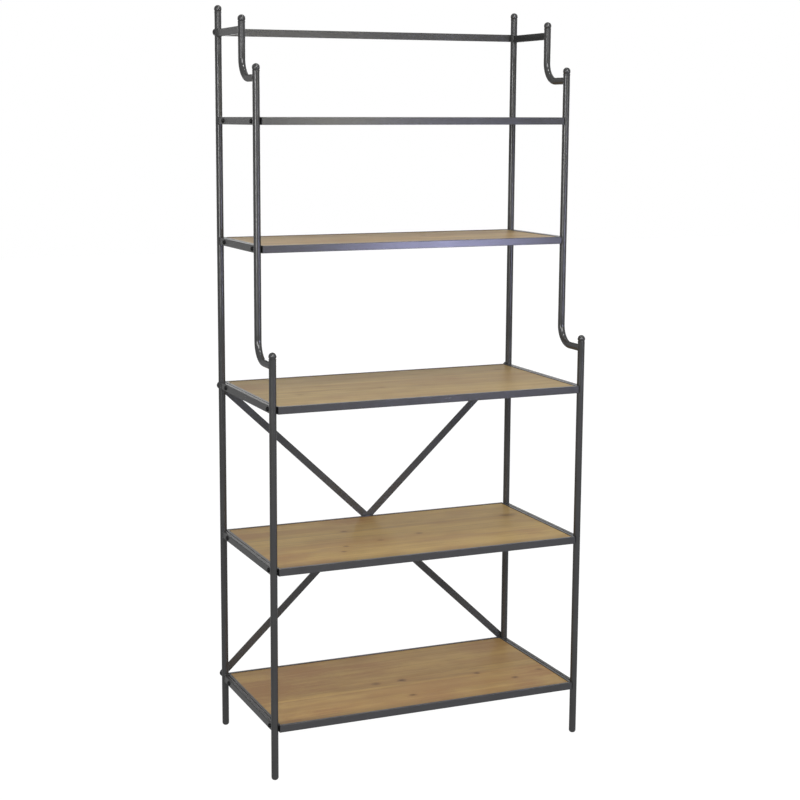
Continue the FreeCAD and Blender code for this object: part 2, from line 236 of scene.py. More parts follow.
class ShelvingSettings(bpy.types.PropertyGroup):
    """All settings of the unit."""

    metal: bpy.props.PointerProperty(type=ShelvingMetalSettings)
    wood: bpy.props.PointerProperty(type=ShelvingWoodSettings)
    weld: bpy.props.PointerProperty(type=ShelvingWeldSettings)
    studio: bpy.props.PointerProperty(type=ShelvingStudioSettings)


def settings():
    return bpy.context.scene.shelving


class Socket:
    """A shader output that takes part in Python expressions."""

    def __init__(self, finish, output):
        self.finish = finish
        self.output = output

    def part(self, name):
        """Another output of the same node."""
        return Socket(self.finish, self.output.node.outputs[name])

    def swing(self, amount):
        """A noise moved to vary around zero, times an amount."""
        return (self - NOISE_MIDDLE) * amount

    def __add__(self, other):
        return self.finish.maths("ADD", self, other)

    def __radd__(self, other):
        return self.finish.maths("ADD", other, self)

    def __sub__(self, other):
        return self.finish.maths("SUBTRACT", self, other)

    def __rsub__(self, other):
        return self.finish.maths("SUBTRACT", other, self)

    def __mul__(self, other):
        return self.finish.maths("MULTIPLY", self, other)

    def __rmul__(self, other):
        return self.finish.maths("MULTIPLY", other, self)

    def __truediv__(self, other):
        return self.finish.maths("DIVIDE", self, other)

    def __rtruediv__(self, other):
        return self.finish.maths("DIVIDE", other, self)


class Finish:
    """The nodes of a material or of the studio's walls, and the one way in which they are made."""

    def __init__(self, owner):
        self.owner = owner
        self.tree = owner.node_tree
        self.tree.nodes.clear()

    @classmethod
    def of_material(cls, name):
        """The nodes of a new material, with the place on the unit in metres."""
        material = bpy.data.materials.new(name)
        material.use_nodes = True
        finish = cls(material)
        finish.place = finish.node("ShaderNodeTexCoord", output="Object")
        return finish

    def node(self, kind, node_settings=None, values=None, output=0):
        """Makes a node, sets it up, fills its sockets and gives one of its outputs."""
        node = self.tree.nodes.new(kind)
        for name, value in (node_settings or {}).items():
            if name == "stops":
                self.set_stops(node.color_ramp, value)
            else:
                setattr(node, name, value)
        for key, value in (values or {}).items():
            if isinstance(value, Socket):
                self.tree.links.new(value.output, node.inputs[key])
            else:
                node.inputs[key].default_value = value
        return None if output is None else Socket(self, node.outputs[output])

    @staticmethod
    def set_stops(ramp, stops):
        while len(ramp.elements) < len(stops):
            ramp.elements.new(1)
        for element, (position, tone) in zip(ramp.elements, stops):
            element.position = position
            element.color = (tone, tone, tone, 1)

    def maths(self, operation, *values):
        return self.node("ShaderNodeMath", {"operation": operation}, dict(enumerate(values)))

    def clamped(self, value):
        """The value, kept between 0 and 1."""
        kind = {"operation": "MULTIPLY", "use_clamp": True}
        return self.node("ShaderNodeMath", kind, {0: value, 1: 1.0})

    def vector(self, operation, *values, output=0):
        kind = {"operation": operation}
        return self.node("ShaderNodeVectorMath", kind, dict(enumerate(values)), output)

    def scaled(self, place, scales):
        return self.vector("MULTIPLY", place, scales)

    def parts(self, vector):
        """The X, Y and Z of a vector."""
        x = self.node("ShaderNodeSeparateXYZ", values={0: vector})
        return x, x.part("Y"), x.part("Z")

    def mix(self, factor, first, second):
        """A blend of two colours."""
        values = {0: factor, 6: opaque(first), 7: opaque(second)}
        return self.node("ShaderNodeMix", {"data_type": "RGBA"}, values, 2)

    def noise(self, place, scale, detail=2.0, roughness=0.5):
        values = {"Vector": place, "Scale": scale, "Detail": detail, "Roughness": roughness}
        return self.node("ShaderNodeTexNoise", values=values)

    def ramp(self, value, stops):
        return self.node("ShaderNodeValToRGB", {"stops": stops}, {"Fac": value})

    def bump(self, height, strength, distance):
        values = {"Strength": strength, "Distance": distance, "Height": height}
        return self.node("ShaderNodeBump", values=values, output="Normal")

    def edges(self, width):
        """A mask that is 1 where a sharp edge is near."""
        normal = self.node("ShaderNodeNewGeometry", output="Normal")
        rounded = self.node("ShaderNodeBevel", {"samples": EDGE_SAMPLES}, {"Radius": width})
        facing = self.vector("DOT_PRODUCT", rounded, normal, output="Value")
        return self.ramp(1 - facing, EDGE_STOPS)

    def surface(self, **sockets):
        """Ends the material in one surface shader. A socket's name has _ for its spaces."""
        values = {name.replace("_", " "): value for name, value in sockets.items()}
        shader = self.node("ShaderNodeBsdfPrincipled", values=values)
        self.end(shader, "ShaderNodeOutputMaterial")
        return self.owner

    def end(self, shader, kind):
        self.node(kind, values={"Surface": shader}, output=None)


def opaque(colour):
    """A colour value with its alpha, or the socket as it is."""
    return colour if isinstance(colour, Socket) else (*colour, 1.0)


def toned(colour, share):
    """A colour made lighter or darker."""
    return tuple(channel * share for channel in colour)


def tinted(colour, shade):
    """A colour with a share of its own for each channel."""
    return tuple(channel * share for channel, share in zip(colour, shade))


# In the tables of the finishes, a scale is a number of repeats in a metre, stops are the places
# and values of a ramp, a run is how much finer a pattern is along X, Y and Z, a cover is how much
# of the colour below is hidden, and in_tone and in_gloss are how much a pattern tells there. The
# reach of a bend is the distance in metres that its stops count as 1

EDGE_SAMPLES = 6
EDGE_STOPS = ((0.004, 0.0), (0.12, 1.0))

ALONG_X = (1.0, 40.0, 40.0)
ALONG_Y = (40.0, 1.0, 40.0)
ALONG_Z = (40.0, 40.0, 1.0)

PAINT = SimpleNamespace(
    mottle_scale=16.0,
    cloud_scale=95.0,
    streak_scale=9.0,
    grain_scale=1500.0,
    speck_scale=420.0,
    speck_stops=((0.70, 0.0), (0.78, 1.0)),
    upward_stops=((0.80, 0.0), (0.98, 1.0)),
    bend_reach=1 / 15,
    bend_stops=((0.5, 1.0), (0.8, 0.0)),
    light_share=1.2,
    dark_share=0.82,
    mottle_in_tone=0.8,
    streak_in_tone=0.7,
    cloud_in_tone=0.3,
    middle_tone=0.5,
    rub_gain=1.6,
    rub_loss=0.35,
    rub_boost=2.0,
    speck_cover=0.3,
    dust_cover=0.3,
    mottle_in_gloss=0.08,
    streak_in_gloss=0.06,
    rubbed_in_gloss=0.06,
    grain_height=0.5,
    cloud_height=0.5,
    dust_fill=0.7,
    bump_strength=0.03,
    bump_distance=0.05 * MM,
)


def painted_metal(name, colour, run, bends=()):
    """Satin gunmetal paint with faint drawn streaks along the bar, mottling, rubbed edges and dust
    on top. It is smoother near the heights of the bends."""
    metal = settings().metal
    finish = Finish.of_material(name)
    mottle = finish.noise(finish.place, PAINT.mottle_scale, detail=4.0, roughness=0.6)
    cloud = finish.noise(finish.place, PAINT.cloud_scale, detail=3.0)
    drawn = finish.scaled(finish.place, run)
    streak = finish.noise(drawn, PAINT.streak_scale, detail=3.0, roughness=0.65)
    grain = finish.noise(finish.place, PAINT.grain_scale, detail=1.0)
    tone = mottle.swing(PAINT.mottle_in_tone) + streak.swing(PAINT.streak_in_tone)
    tone = tone + cloud.swing(PAINT.cloud_in_tone) + PAINT.middle_tone
    dark = toned(colour, PAINT.dark_share)
    paint = finish.mix(finish.clamped(tone), dark, toned(colour, PAINT.light_share))
    patchy = cloud * PAINT.rub_gain - PAINT.rub_loss
    rubbed = finish.edges(metal.edge_width) * patchy * metal.wear * PAINT.rub_boost
    rubbed = finish.clamped(rubbed)
    base = finish.mix(rubbed, paint, tuple(metal.worn_colour))
    specks = finish.noise(finish.place, PAINT.speck_scale, detail=2.0)
    specks = finish.ramp(specks, PAINT.speck_stops)
    base = finish.mix(specks * PAINT.speck_cover, base, dark)
    upward = finish.parts(finish.node("ShaderNodeNewGeometry", output="Normal"))[2]
    dust = finish.ramp(upward, PAINT.upward_stops)
    base = finish.mix(dust * cloud * PAINT.dust_cover, base, tuple(metal.dust_colour))
    gloss = mottle.swing(PAINT.mottle_in_gloss) + streak.swing(PAINT.streak_in_gloss)
    gloss = gloss - rubbed * PAINT.rubbed_in_gloss
    roughness = metal.roughness + gloss + dust * metal.dust
    for bend in bends:
        away = finish.maths("ABSOLUTE", finish.parts(finish.place)[2] - bend)
        near = finish.ramp(away / PAINT.bend_reach, PAINT.bend_stops)
        roughness = roughness - near * metal.polish
    height = grain * PAINT.grain_height + cloud * PAINT.cloud_height
    height = height * (1 - dust * PAINT.dust_fill)
    return finish.surface(
        Base_Color=base,
        Metallic=metal.metallic,
        Roughness=finish.clamped(roughness),
        Normal=finish.bump(height, PAINT.bump_strength, PAINT.bump_distance),
    )


PLUG = SimpleNamespace(
    grain_scale=2200.0,
    scuff_scale=160.0,
    sound_colour=(0.006, 0.006, 0.007),
    scuff_colour=(0.016, 0.016, 0.017),
    scuff_cover=0.5,
    roughness=0.55,
    scuff_in_gloss=0.25,
    bump_strength=0.3,
    bump_distance=0.1 * MM,
)


def plug_plastic():
    """Black moulded plastic with a fine spark-eroded grain."""
    finish = Finish.of_material("plug_plastic")
    grain = finish.noise(finish.place, PLUG.grain_scale, detail=2.0)
    scuff = finish.noise(finish.place, PLUG.scuff_scale, detail=4.0)
    return finish.surface(
        Base_Color=finish.mix(scuff * PLUG.scuff_cover, PLUG.sound_colour, PLUG.scuff_colour),
        Roughness=finish.clamped(PLUG.roughness + scuff.swing(PLUG.scuff_in_gloss)),
        Normal=finish.bump(grain, PLUG.bump_strength, PLUG.bump_distance),
    )


# Fastener metals: colour, roughness and how metallic they look
BLACK_OXIDE = ((0.016, 0.016, 0.017), 0.38, 0.5)
DULL_ZINC = ((0.32, 0.32, 0.33), 0.36, 0.9)

FASTENER = SimpleNamespace(
    dirt_scale=240.0,
    scratch_scale=700.0,
    scratch_run=(1.0, 1.0, 14.0),
    bright_share=2.4,
    bright_gain=0.05,
    dirt_share=0.55,
    dirt_cover=0.6,
    edge_width=0.5 * MM,
    edge_cover=0.5,
    dirt_in_gloss=0.3,
    scratch_in_gloss=0.15,
    bump_strength=0.15,
    bump_distance=0.08 * MM,
)


def fastener_metal(name, colour, roughness_level, metallic):
    """Turned or plated metal with fine scratches, a little dirt and bright edges."""
    finish = Finish.of_material(name)
    dirt = finish.noise(finish.place, FASTENER.dirt_scale, detail=4.0, roughness=0.65)
    turned = finish.scaled(finish.place, FASTENER.scratch_run)
    scratch = finish.noise(turned, FASTENER.scratch_scale, detail=2.0)
    bright = toned(colour, FASTENER.bright_share)
    bright = tuple(min(1.0, channel + FASTENER.bright_gain) for channel in bright)
    base = finish.mix(dirt * FASTENER.dirt_cover, colour, toned(colour, FASTENER.dirt_share))
    base = finish.mix(finish.edges(FASTENER.edge_width) * FASTENER.edge_cover, base, bright)
    roughness = roughness_level + dirt.swing(FASTENER.dirt_in_gloss)
    roughness = roughness + scratch.swing(FASTENER.scratch_in_gloss)
    return finish.surface(
        Base_Color=base,
        Metallic=metallic,
        Roughness=finish.clamped(roughness),
        Normal=finish.bump(scratch, FASTENER.bump_strength, FASTENER.bump_distance),
    )


SPOT = SimpleNamespace(
    flow_run=(1.0, 2.0, 2.0),
    flow_scale=60.0,
    flow_amount=0.9,
    length_share=0.75,
    stops=((0.25, 1.0), (0.62, 0.45), (1.0, 0.0)),
    pull_fall=-0.32,
)


def spot_masks(finish, spots):
    """How near each point is to a spot, from 0 to 1, and how hard the grain swerves there."""
    flow = finish.noise(finish.scaled(finish.place, SPOT.flow_run), SPOT.flow_scale, detail=2.0)
    flow = flow.swing(SPOT.flow_amount)
    heart = None
    swerve = None
    for x, y, radius, strength in spots:
        away = finish.vector("SUBTRACT", finish.place, (x, y, 0.0))
        flat = finish.scaled(away, (SPOT.length_share / radius, 1.0 / radius, 0.0))
        distance = finish.vector("LENGTH", flat, output="Value") + flow
        near = finish.ramp(distance, SPOT.stops) * strength
        pull = finish.maths("EXPONENT", distance * distance * SPOT.pull_fall) * strength
        heart = near if heart is None else finish.maths("MAXIMUM", heart, near)
        swerve = pull if swerve is None else swerve + pull
    return heart, swerve


# Noises of the wood: repeats in a metre along, across and through a board, detail, roughness
WOOD_NOISES = {
    "sway": ((1.6, 7.0, 7.0), 3.0, 0.55),
    "ring": ((3.0, 60.0, 60.0), 2.0, 0.5),
    "band": ((0.9, 34.0, 34.0), 3.0, 0.6),
    "fibre": ((9.0, 620.0, 620.0), 3.0, 0.7),
    "streak": ((4.0, 105.0, 105.0), 2.0, 0.6),
    "cloud": ((2.6, 15.0, 15.0), 4.0, 0.62),
}

WOOD = SimpleNamespace(
    stave_shift=(9.0, 0.0, 3.0),
    board_shift=(1.7, 0.0, 0.9),
    rim_depth_stops=((0.25, 1.0), (1.0, 0.0)),
    rim_length_stops=((0.05, 1.0), (0.5, 0.35)),
    pith_spread=0.16,
    sway_across=0.05,
    knot_swerve=0.006,
    patch_swerve=0.004,
    pith_depth=0.035,
    drift_depth=0.07,
    sway_depth=0.02,
    rings_scale=255.0,
    ring_waver=1.1,
    late_stops=((0.35, 0.0), (0.86, 1.0), (0.97, 0.15), (1.0, 0.0)),
    stain_run=(1.0, 1.6, 1.6),
    stain_scale=12.0,
    blush_stops=((0.46, 0.0), (0.64, 1.0)),
    warm_stops=((0.36, 0.25), (0.58, 1.0)),
    band_in_tone=1.8,
    stave_in_tone=0.5,
    stain_in_tone=1.6,
    streak_in_tone=1.1,
    middle_tone=0.42,
    blush_cover=0.6,
    swerve_cover=0.4,
    late_cover=0.34,
    fibre_in_tone=0.35,
    knot_cover=0.85,
    fibre_in_gloss=0.22,
    late_in_gloss=0.05,
    knot_in_gloss=0.05,
    fibre_height=0.7,
    late_height=0.35,
    knot_height=0.4,
    bump_strength=0.3,
    bump_distance=0.25 * MM,
)


def growth_rings(finish, shift, pith, drift, noises, pull):
    """A mask of the late growth, where a stave cuts the rings round its pith."""
    sway = noises["sway"] - NOISE_MIDDLE
    across = finish.parts(shift)[1] + pith.swing(WOOD.pith_spread) + sway * WOOD.sway_across + pull
    deep = WOOD.pith_depth + drift * WOOD.drift_depth + sway * WOOD.sway_depth
    ring_radius = finish.maths("SQRT", across * across + deep * deep)
    wavering = ring_radius * WOOD.rings_scale + noises["ring"] * WOOD.ring_waver
    return finish.ramp(finish.maths("FRACT", wavering), WOOD.late_stops)


def front_rim(finish, low, high, width):
    """A mask of the darker band along a board's front edge, strongest at its left end."""
    x, y, _ = finish.parts(finish.place)
    in_depth = finish.ramp((y - low.y) / width, WOOD.rim_depth_stops)
    in_length = finish.ramp((x - low.x) / (high.x - low.x), WOOD.rim_length_stops)
    return in_depth * in_length


def board_wood(number, low, high):
    """Oiled softwood: staves of different tone, reddish streaks, growth rings, fibres and knots,
    and a darkened front edge."""
    wood = settings().wood
    # The board's shade carries painted light: its shelf's brightness, and for board 2 a stand-in
    # for its sheen
    shade = BOARD_TONES_AND_PAINTED_LIGHT[number]
    pale, deep, ring_line, reddish = (
        tinted(colour, shade)
        for colour in (wood.pale_colour, wood.deep_colour, wood.ring_colour, wood.blush_colour)
    )
    knot_colour = tuple(wood.knot_colour)
    finish = Finish.of_material("board_wood_" + str(number))
    stave = finish.node("ShaderNodeAttribute", {"attribute_name": "stave"}, output="Vector")
    tone, pith, drift = finish.parts(stave)
    shift = finish.vector("MULTIPLY_ADD", stave, WOOD.stave_shift, finish.place)
    shift = finish.vector("ADD", shift, toned(WOOD.board_shift, number))
    noises = {
        name: finish.noise(finish.scaled(shift, scales), 1.0, detail, roughness)
        for name, (scales, detail, roughness) in WOOD_NOISES.items()
    }
    band, fibre, streak = noises["band"], noises["fibre"], noises["streak"]
    stained = finish.scaled(finish.place, WOOD.stain_run)
    stain = finish.noise(stained, WOOD.stain_scale, detail=3.0)
    heart, swerve = spot_masks(finish, spots_on(low, high, KNOTS[number]))
    patch, patch_swerve = spot_masks(finish, spots_on(low, high, PATCHES[number]))
    pull = swerve * WOOD.knot_swerve + patch_swerve * WOOD.patch_swerve
    late = growth_rings(finish, shift, pith, drift, noises, pull)

    darkness = band.swing(WOOD.band_in_tone) + tone.swing(WOOD.stave_in_tone)
    darkness = darkness + stain.swing(WOOD.stain_in_tone) + streak.swing(WOOD.streak_in_tone)
    base = finish.mix(finish.clamped(darkness + WOOD.middle_tone), pale, deep)
    blush = finish.ramp(noises["cloud"], WOOD.blush_stops)
    warm = finish.ramp(streak, WOOD.warm_stops)
    redness = blush * WOOD.blush_cover + patch * warm + swerve * WOOD.swerve_cover
    base = finish.mix(finish.clamped(redness), base, reddish)
    lines = late * WOOD.late_cover + fibre.swing(WOOD.fibre_in_tone)
    base = finish.mix(finish.clamped(lines), base, ring_line)
    base = finish.mix(finish.clamped(heart * WOOD.knot_cover), base, knot_colour)
    # Darkens a band along the board's front edge
    rim = front_rim(finish, low, high, wood.rim_width)
    base = finish.mix(rim * FRONT_EDGE_DARKENING[number], base, knot_colour)

    roughness = wood.roughness + fibre.swing(WOOD.fibre_in_gloss)
    roughness = roughness - late * WOOD.late_in_gloss + heart * WOOD.knot_in_gloss
    height = fibre * WOOD.fibre_height - late * WOOD.late_height - heart * WOOD.knot_height
    return finish.surface(
        Base_Color=base,
        Roughness=finish.clamped(roughness),
        Specular_IOR_Level=wood.shine,
        Normal=finish.bump(height, WOOD.bump_strength, WOOD.bump_distance),
    )


def give_finish(material, *names):
    """Every slot of these CAD nodes takes the material."""
    for name in names:
        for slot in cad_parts[name].material_slots:
            slot.material = material


def mesh_piece(name, verts, faces, material):
    """A new smooth mesh object on the unit's one body."""
    mesh = bpy.data.meshes.new(name)
    mesh.from_pydata(verts, [], faces)
    mesh.validate()
    mesh.materials.append(material)
    mesh.polygons.foreach_set("use_smooth", [True] * len(mesh.polygons))
    piece = bpy.data.objects.new(name, mesh)
    bpy.context.scene.collection.objects.link(piece)
    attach(piece, "root")


# Knots: place along the length and depth as shares of the board, radius in mm, strength
KNOTS = {
    1: ((0.22, 0.40, 9.0, 0.8),),
    2: ((0.62, 0.58, 9.0, 0.8),),
    3: ((0.13, 0.35, 9.0, 0.4), (0.42, 0.42, 11.0, 0.3), (0.93, 0.82, 15.0, 0.4)),
    4: (
        (0.28, 0.33, 7.5, 0.9),
        (0.25, 0.22, 7.5, 0.8),
        (0.34, 0.68, 9.0, 0.8),
        (0.56, 0.46, 11.0, 0.7),
        (0.94, 0.68, 22.0, 0.6),
        (0.41, 0.39, 9.0, 0.5),
    ),
    5: (
        (0.50, 0.45, 11.0, 1.0),
        (0.76, 0.39, 9.0, 0.9),
        (0.86, 0.22, 9.5, 1.0),
        (0.48, 0.17, 9.0, 0.9),
        (0.41, 0.45, 13.0, 0.6),
        (0.97, 0.30, 10.0, 0.7),
    ),
}

# Reddish patches of the boards, given in the same way
PATCHES = {
    1: ((0.40, 0.70, 60.0, 0.7),),
    2: ((0.30, 0.30, 60.0, 0.7),),
    3: ((0.03, 0.72, 60.0, 1.0), (0.70, 0.60, 50.0, 0.4)),
    4: (
        (0.42, 0.95, 70.0, 1.0),
        (0.06, 0.18, 60.0, 1.0),
        (0.03, 0.80, 60.0, 0.8),
        (0.60, 0.05, 60.0, 0.6),
        (0.91, 0.20, 45.0, 0.7),
        (0.80, 0.90, 70.0, 0.6),
        (0.05, 0.02, 50.0, 1.0),
        (0.14, 0.02, 60.0, 0.9),
    ),
    5: (
        (0.05, 0.60, 130.0, 1.0),
        (0.20, 0.85, 110.0, 0.9),
        (0.45, 0.75, 90.0, 0.6),
        (0.22, 0.52, 60.0, 0.7),
        (0.97, 0.28, 60.0, 1.0),
        (0.87, 0.08, 45.0, 0.9),
        (0.55, 0.12, 60.0, 0.6),
        (0.90, 0.90, 70.0, 0.6),
        (0.06, 0.02, 50.0, 1.0),
        (0.16, 0.02, 60.0, 0.9),
    ),
}

# How strongly the front edge of each board is darkened
FRONT_EDGE_DARKENING = {1: 0.2, 2: 0.0, 3: 0.0, 4: 0.48, 5: 0.55}

# Shades of the boards, as shares of red, green and blue. They are partly each board's own tone
# and partly painted light: each is set to the brightness that its shelf shows under the lights,
# and board 2 is greyer and bluer to stand in for the sheen that it throws back
BOARD_TONES_AND_PAINTED_LIGHT = {
    1: (1.01, 1.01, 1.01),
    2: (1.08, 1.10, 1.14),
    3: (0.985, 1.02, 0.98),
    4: (1.11, 1.095, 0.89),
    5: (1.075, 1.02, 0.88),
}

# The boards' random numbers start from this seed plus the board's number
FIRST_SEED = 40

# Least count of a board's staves, and their least and greatest width as shares of the usual one
FEWEST_STAVES = 2
STAVE_SHARES = (0.82, 1.18)


def stave_edges(low, high, width, dice):
    """Where the glue joints of a board lie, from its front to its back."""
    count = max(FEWEST_STAVES, round((high - low) / width))
    shares = [dice.uniform(*STAVE_SHARES) for _ in range(count)]
    total = sum(shares)
    edges = [low]
    for share in shares:
        edges.append(edges[-1] + share * (high - low) / total)
    edges[-1] = high
    return edges


def add_stave(board, low, high, bevel, tone, layer):
    """One glued stave with softly rounded edges."""
    made = bmesh.ops.create_cube(board, size=1.0)
    bmesh.ops.scale(board, vec=high - low, verts=made["verts"])
    bmesh.ops.translate(board, vec=(low + high) / 2, verts=made["verts"])
    edges = list({edge for vert in made["verts"] for edge in vert.link_edges})
    rounded = bmesh.ops.bevel(
        board, geom=edges, offset=bevel, segments=2, profile=0.5, affect="EDGES"
    )
    seen = set(rounded["verts"])
    grow = list(seen)
    while grow:
        vert = grow.pop()
        for edge in vert.link_edges:
            other = edge.other_vert(vert)
            if other not in seen:
                seen.add(other)
                grow.append(other)
    for vert in seen:
        vert[layer] = tone


def spots_on(low, high, spots):
    """The spots of a board in metres."""
    placed = []
    for share_x, share_y, radius, strength in spots:
        x = low.x + share_x * (high.x - low.x)
        y = low.y + share_y * (high.y - low.y)
        placed.append((x, y, radius * MM, strength))
    return placed


def make_board(number):
    """A board of glued staves in the place of its CAD node."""
    wood = settings().wood
    node = "shelf_" + str(number) + "_board"
    low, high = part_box(node)
    dice = random.Random(FIRST_SEED + number)
    board = bmesh.new()
    layer = board.verts.layers.float_vector.new("stave")
    edges = stave_edges(low.y, high.y, wood.stave_width, dice)
    for front, rear in zip(edges, edges[1:]):
        tone = Vector((dice.random(), dice.random(), dice.random()))
        near_corner = Vector((low.x, front, low.z))
        far_corner = Vector((high.x, rear, high.z))
        add_stave(board, near_corner, far_corner, wood.joint_bevel, tone, layer)
    mesh = bpy.data.meshes.new(node + "_staves")
    board.to_mesh(mesh)
    board.free()
    mesh.materials.append(board_wood(number, low, high))
    piece = bpy.data.objects.new(node + "_staves", mesh)
    bpy.context.scene.collection.objects.link(piece)
    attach(piece, "root")
    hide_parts(node)


# Sides of a bead's section, and the least count of its ripples
BEAD_SIDES = 8
FEWEST_RIPPLES = 8

# Spacing of the points of a bead along a rail's seam, and the rounding of a rail's corners
BEAD_STEP = 0.45 * MM
RAIL_ROUNDING = 1.5 * MM
CORNER_STEPS = 4

# Points of a stepped post's bead, and the least distance that they keep from the middle plane of
# the upright, as a share of its radius
STEP_BEAD_POINTS = 110
LEAST_REACH_SHARE = 0.18


def bead_rings(path, weld):
    """Verts and faces of a closed rippled bead along a closed path."""
    verts = []
    faces = []
    count = len(path)
    length = sum((path[i] - path[i - 1]).length for i in range(count))
    ripples = max(FEWEST_RIPPLES, round(length / weld.ripple_pitch))
    middle = sum(path, Vector()) / count
    for i, place in enumerate(path):
        following = (i + 1) % count
        ahead = (path[following] - path[i - 1]).normalized()
        out = place - middle
        out = (out - out.dot(ahead) * ahead).normalized()
        side = ahead.cross(out)
        ripple = math.sin(math.tau * ripples * i / count)
        swell = weld.bead_radius * (1 + weld.ripple_share * ripple)
        here, there = i * BEAD_SIDES, following * BEAD_SIDES
        for j in range(BEAD_SIDES):
            angle = math.tau * j / BEAD_SIDES
            verts.append(place + (out * math.cos(angle) + side * math.sin(angle)) * swell)
            beside = (j + 1) % BEAD_SIDES
            faces.append((here + j, here + beside, there + beside, there + j))
    return verts, faces


def rounded_rectangle(half_width, half_height, rounding, steps):
    """Points around a rectangle with round corners, evenly enough spaced for a bead."""
    points = []
    # Each corner: the way across, the way up and the half turns before it
    corners = ((1, 1, 0.0), (-1, 1, 0.5), (-1, -1, 1.0), (1, -1, 1.5))
    for across, up, turn in corners:
        for step in range(steps + 1):
            angle = math.pi * (turn + 0.5 * step / steps)
            x = across * (half_width - rounding) + rounding * math.cos(angle)
            z = up * (half_height - rounding) + rounding * math.sin(angle)
            points.append((x, z))
    spaced = []
    for i, (x, z) in enumerate(points):
        next_x, next_z = points[(i + 1) % len(points)]
        gap = math.hypot(next_x - x, next_z - z)
        pieces = max(1, round(gap / BEAD_STEP))
        for step in range(pieces):
            spaced.append((x + (next_x - x) * step / pieces, z + (next_z - z) * step / pieces))
    return spaced


def rail_bead_paths(rail, post_ys):
    """The closed seams between a side rail and its two uprights."""
    low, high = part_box(rail)
    middle = (low + high) / 2
    outline = rounded_rectangle(
        (high.x - low.x) / 2, (high.z - low.z) / 2, RAIL_ROUNDING, CORNER_STEPS
    )
    paths = []
    for post_y, way in zip(post_ys, (1, -1)):
        path = []
        for x, z in outline:
            reach = math.sqrt(POST_RADIUS**2 - x * x)
            path.append(Vector((middle.x + x, post_y + way * reach, middle.z + z)))
        paths.append(path)
    return paths


def step_bead_path(post, carrier_y):
    """The saddle-shaped seam between a stepped post's foot and the upright that carries it."""
    low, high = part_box(post)
    middle = Vector(((low.x + high.x) / 2, carrier_y, low.z + POST_RADIUS))
    least_reach = LEAST_REACH_SHARE * POST_RADIUS
    path = []
    for step in range(STEP_BEAD_POINTS):
        angle = math.tau * step / STEP_BEAD_POINTS
        x = POST_RADIUS * math.cos(angle)
        reach = math.sqrt(max(POST_RADIUS**2 - x * x, least_reach**2))
        path.append(middle + Vector((x, reach, POST_RADIUS * math.sin(angle))))
    return path


def weld_paths(side):
    """Every welded seam of one side frame."""
    paths = rail_bead_paths("gallery_rail_" + side, (TOP_Y, BACK_Y))
    for number in SHELVES:
        front = MIDDLE_Y if number in SHORT_SHELVES else FRONT_Y
        paths += rail_bead_paths("shelf_" + str(number) + "_rail_" + side, (front, BACK_Y))
    paths.append(step_bead_path("middle_post_" + side, FRONT_Y))
    paths.append(step_bead_path("top_post_" + side, MIDDLE_Y))
    return paths


class SHELVING_OT_side_frames(bpy.types.Operator):
    """Paint the uprights, side rails, gallery rails, ball caps and foot glides"""

    bl_idname = "shelving.side_frames"
    bl_label = "Side frames"

    def execute(self, context):
        metal = settings().metal
        colour = tuple(metal.frame_colour)
        stepped = ("middle_post_left", "top_post_left")
        bends = [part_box(post)[0].z + BEND_MIDDLE for post in stepped]
        upright = painted_metal("upright_paint", colour, ALONG_Z, bends)
        rail = painted_metal("side_rail_paint", colour, ALONG_Y)
        # The gallery rails take a darker copy of the paint, as painted shade
        gallery = painted_metal("gallery_rail_paint_painted_shade", tuple(metal.gallery_colour), ALONG_Y)
        for side in SIDES:
            for kind in ("back_post_", "front_post_", "middle_post_", "top_post_"):
                give_finish(upright, kind + side)
            give_finish(gallery, "gallery_rail_" + side)
            for number in SHELVES:
                give_finish(rail, "shelf_" + str(number) + "_rail_" + side)
        give_finish(upright, "ball_caps", "foot_glides")
        return {"FINISHED"}


class SHELVING_OT_weld_beads(bpy.types.Operator):
    """Lay the weld beads of both side frames"""

    bl_idname = "shelving.weld_beads"
    bl_label = "Weld beads"

    def execute(self, context):
        weld = settings().weld
        material = painted_metal("weld_paint", tuple(settings().metal.frame_colour), ALONG_Y)
        for side in SIDES:
            verts = []
            faces = []
            for path in weld_paths(side):
                ring_verts, ring_faces = bead_rings(path, weld)
                first = len(verts)
                verts += ring_verts
                faces += [tuple(first + index for index in face) for face in ring_faces]
            mesh_piece("weld_beads_" + side, verts, faces, material)
        return {"FINISHED"}


class SHELVING_OT_trays(bpy.types.Operator):
    """Paint the tray bars and their board tabs, and blacken their end plugs"""

    bl_idname = "shelving.trays"
    bl_label = "Trays"

    def execute(self, context):
        colour = tuple(settings().metal.tray_colour)
        cross = painted_metal("tray_cross_bar_paint", colour, ALONG_X)
        side_bar = painted_metal("tray_side_bar_paint", colour, ALONG_Y)
        for number in SHELVES:
            shelf = "shelf_" + str(number)
            give_finish(cross, shelf + "_front_bar", shelf + "_rear_bar")
            for side in SIDES:
                give_finish(side_bar, shelf + "_side_bar_" + side)
        give_finish(cross, "board_tabs")
        give_finish(plug_plastic(), "tray_end_plugs")
        return {"FINISHED"}


class SHELVING_OT_boards(bpy.types.Operator):
    """Lay the five boards of glued staves"""

    bl_idname = "shelving.boards"
    bl_label = "Boards"

    def execute(self, context):
        for number in SHELVES:
            make_board(number)
        return {"FINISHED"}


class SHELVING_OT_braces(bpy.types.Operator):
    """Paint the crossed braces and the top rail"""

    bl_idname = "shelving.braces"
    bl_label = "Braces"

    def execute(self, context):
        metal = settings().metal
        brace = painted_metal("brace_paint", tuple(metal.brace_colour), ALONG_X)
        # The top rail takes a lighter copy of the paint, as painted light
        top_rail = painted_metal("top_rail_paint_painted_light", tuple(metal.top_rail_colour), ALONG_X)
        give_finish(brace, "cross_brace_front", "cross_brace_rear")
        give_finish(top_rail, "top_rear_rail")
        return {"FINISHED"}


